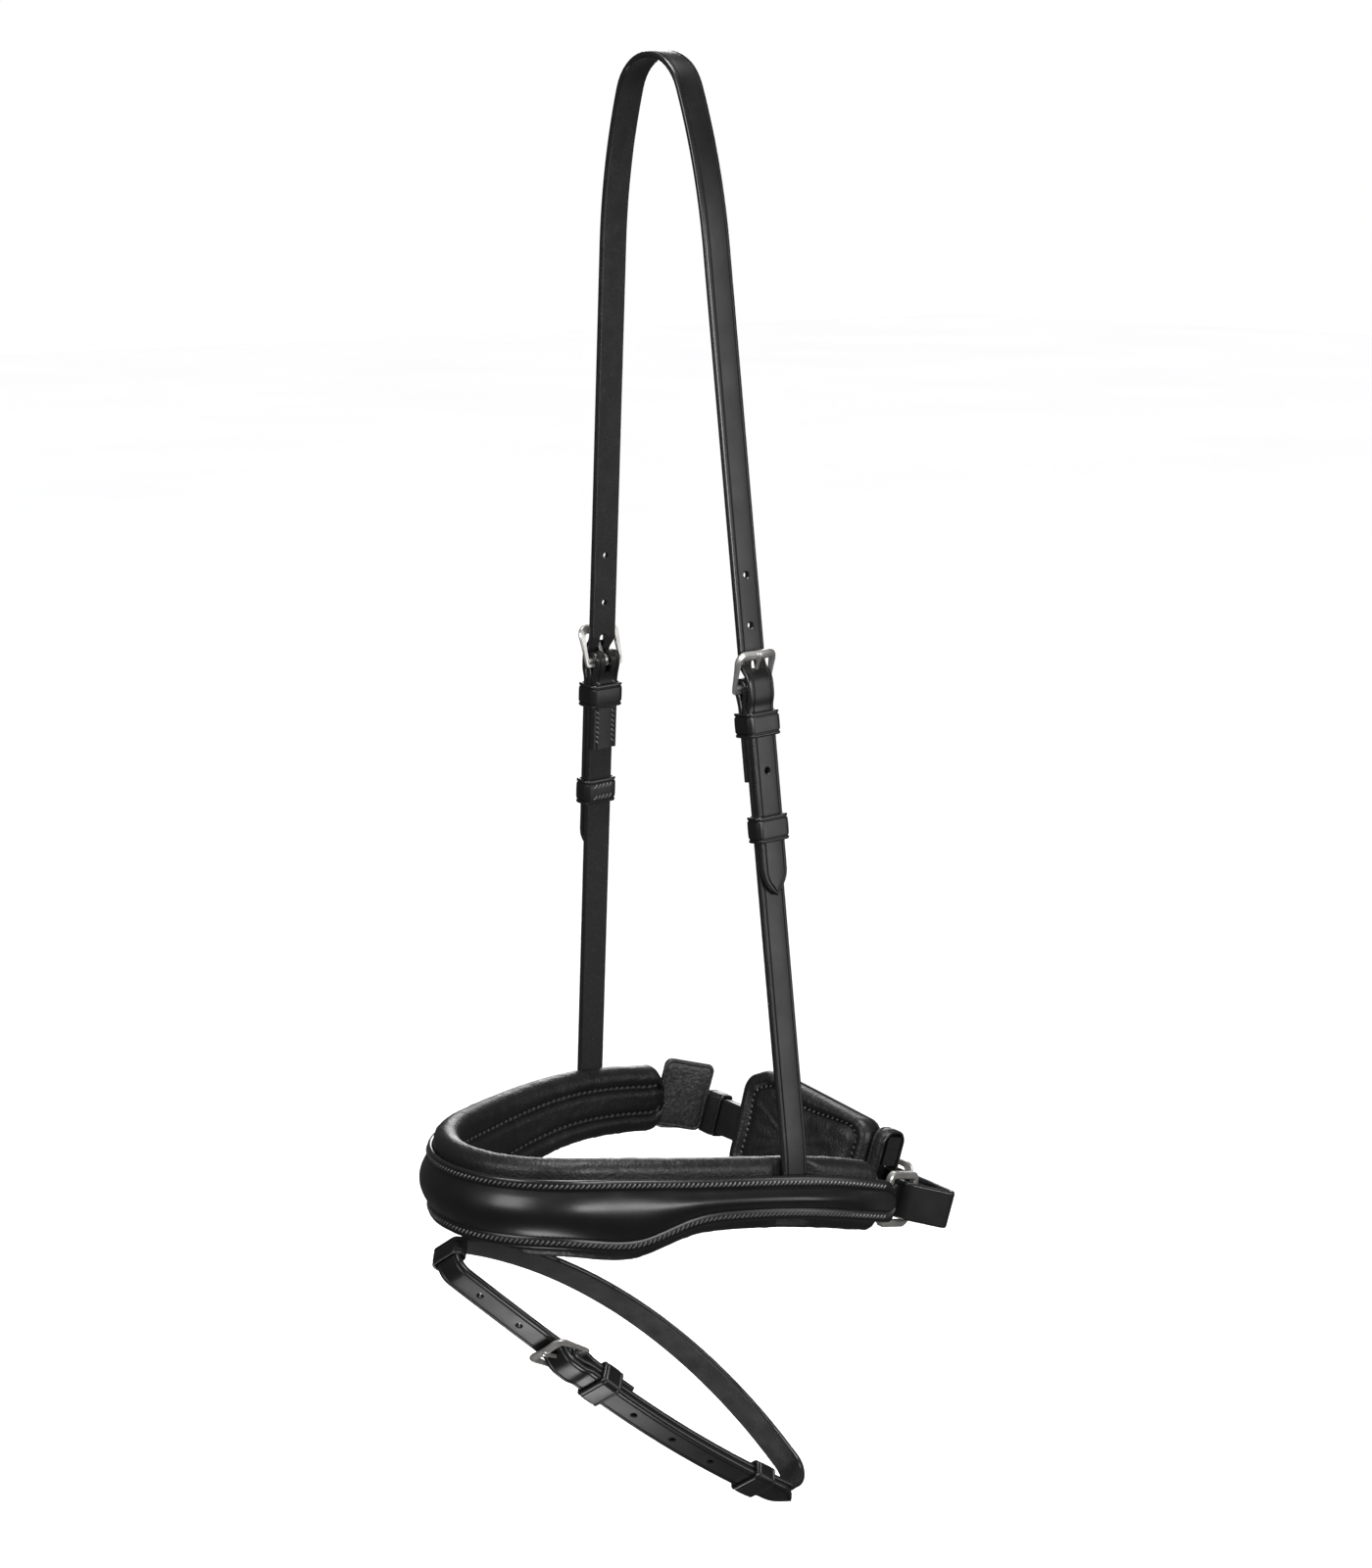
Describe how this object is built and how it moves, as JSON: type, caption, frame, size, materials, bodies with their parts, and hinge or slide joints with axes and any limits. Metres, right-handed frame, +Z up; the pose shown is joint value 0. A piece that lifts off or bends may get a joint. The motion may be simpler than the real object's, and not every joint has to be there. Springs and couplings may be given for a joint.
{
  "type": "combined noseband",
  "caption": "Leather combined noseband on its own headpiece: padded nose piece, doubled crank closure with jaw pad, and buckled lower flash strap.",
  "frame": {"origin": "underside of the headpiece strap at its highest point, where it rests behind the horse's ears", "axes": "+Z up, the horse's head faces -Y, +X is the horse's near (left) side"},
  "size_m": [0.1518, 0.2129, 0.5984],
  "materials": {
    "strap_leather": "smooth black bridle leather, semi-gloss, creased and painted edges",
    "soft_leather": "soft black padding leather, fine grain, low gloss",
    "buckle_steel": "satin stainless steel",
    "padding": "dense padding foam, hidden inside the covers"
  },
  "bodies": {
    "headstall": {"crown_strap": "strap_leather", "near_cheek_strap": "strap_leather", "near_cheek_buckle_frame": "buckle_steel", "near_cheek_fixed_keeper": "strap_leather", "far_cheek_strap": "strap_leather", "far_cheek_buckle_frame": "buckle_steel", "far_cheek_fixed_keeper": "strap_leather", "noseband_facing": "strap_leather", "noseband_raised_core": "strap_leather", "noseband_lining": "soft_leather", "noseband_foam": "padding", "near_ring_chape": "strap_leather", "far_ring_chape": "strap_leather", "far_ring_flap": "soft_leather", "crank_strap": "strap_leather", "crank_chape": "strap_leather", "crank_buckle_frame": "buckle_steel", "crank_fixed_keeper": "strap_leather", "flash_loop_tab": "strap_leather"},
    "near_cheek_tongue": {"near_cheek_buckle_tongue": "buckle_steel"},
    "far_cheek_tongue": {"far_cheek_buckle_tongue": "buckle_steel"},
    "near_cheek_keeper": {"near_cheek_runner": "strap_leather"},
    "far_cheek_keeper": {"far_cheek_runner": "strap_leather"},
    "near_link": {"near_ring": "buckle_steel"},
    "far_link": {"far_ring": "buckle_steel"},
    "crank_tongue": {"crank_buckle_tongue": "buckle_steel"},
    "crank_keeper": {"crank_runner": "strap_leather"},
    "jaw_pad": {"jaw_pad_back": "strap_leather", "jaw_pad_cover": "soft_leather", "jaw_pad_foam": "padding", "jaw_pad_near_loop": "soft_leather", "jaw_pad_far_loop": "soft_leather"},
    "flash": {"flash_strap": "strap_leather", "flash_loop": "strap_leather", "flash_buckle_frame": "buckle_steel", "flash_fixed_keeper": "strap_leather"},
    "flash_tongue": {"flash_buckle_tongue": "buckle_steel"},
    "flash_keeper": {"flash_runner": "strap_leather"}
  },
  "joints": [
    {"name": "near_cheek_tongue_hinge", "type": "hinge", "parent": "headstall", "child": "near_cheek_tongue", "pos_m": [0.04722, 0.00856, -0.24505], "axis": [0, 0.9994, 0.0349], "range_deg": [0, 10]},
    {"name": "far_cheek_tongue_hinge", "type": "hinge", "parent": "headstall", "child": "far_cheek_tongue", "pos_m": [-0.04722, 0.00856, -0.24505], "axis": [0, -0.9994, -0.0349], "range_deg": [0, 10]},
    {"name": "near_cheek_keeper_slide", "type": "slide", "parent": "headstall", "child": "near_cheek_keeper", "axis": [0.0941, 0.0347, -0.995], "range_m": [-0.01, 0.1]},
    {"name": "far_cheek_keeper_slide", "type": "slide", "parent": "headstall", "child": "far_cheek_keeper", "axis": [-0.0941, 0.0347, -0.995], "range_m": [-0.01, 0.1]},
    {"name": "near_ring_hinge", "type": "hinge", "parent": "headstall", "child": "near_link", "pos_m": [0.06426, 0.06835, -0.46499], "axis": [0.096, 0.24, 0.966], "range_deg": [-3, 3]},
    {"name": "far_ring_hinge", "type": "hinge", "parent": "headstall", "child": "far_link", "pos_m": [-0.0671, 0.05737, -0.44921], "axis": [0.096, 0.24, 0.966], "range_deg": [-3, 1]},
    {"name": "crank_tongue_hinge", "type": "hinge", "parent": "headstall", "child": "crank_tongue", "pos_m": [0.0344, 0.09074, -0.46759], "axis": [0.096, 0.24, 0.966], "range_deg": [0, 10]},
    {"name": "crank_keeper_slide", "type": "slide", "parent": "headstall", "child": "crank_keeper", "axis": [0.983, 0.13, -0.13], "range_m": [-0.001, 0.015]},
    {"name": "jaw_pad_slide", "type": "slide", "parent": "headstall", "child": "jaw_pad", "axis": [0.983, 0.13, -0.13], "range_m": [-0.002, 0.002]},
    {"name": "flash_swing", "type": "hinge", "parent": "headstall", "child": "flash", "pos_m": [0, -0.105, -0.461], "axis": [1, 0, 0], "range_deg": [-25, 12]},
    {"name": "flash_tongue_hinge", "type": "hinge", "parent": "flash", "child": "flash_tongue", "pos_m": [0.01761, -0.06204, -0.51699], "axis": [0.7814, 0.2456, 0.5736], "range_deg": [0, 10]},
    {"name": "flash_keeper_slide", "type": "hinge", "parent": "flash", "child": "flash_keeper", "pos_m": [-0.23514, 0.24294, -0.30325], "axis": [-0.7814, -0.2456, -0.5736], "range_deg": [-1, 8.5]}
  ]
}
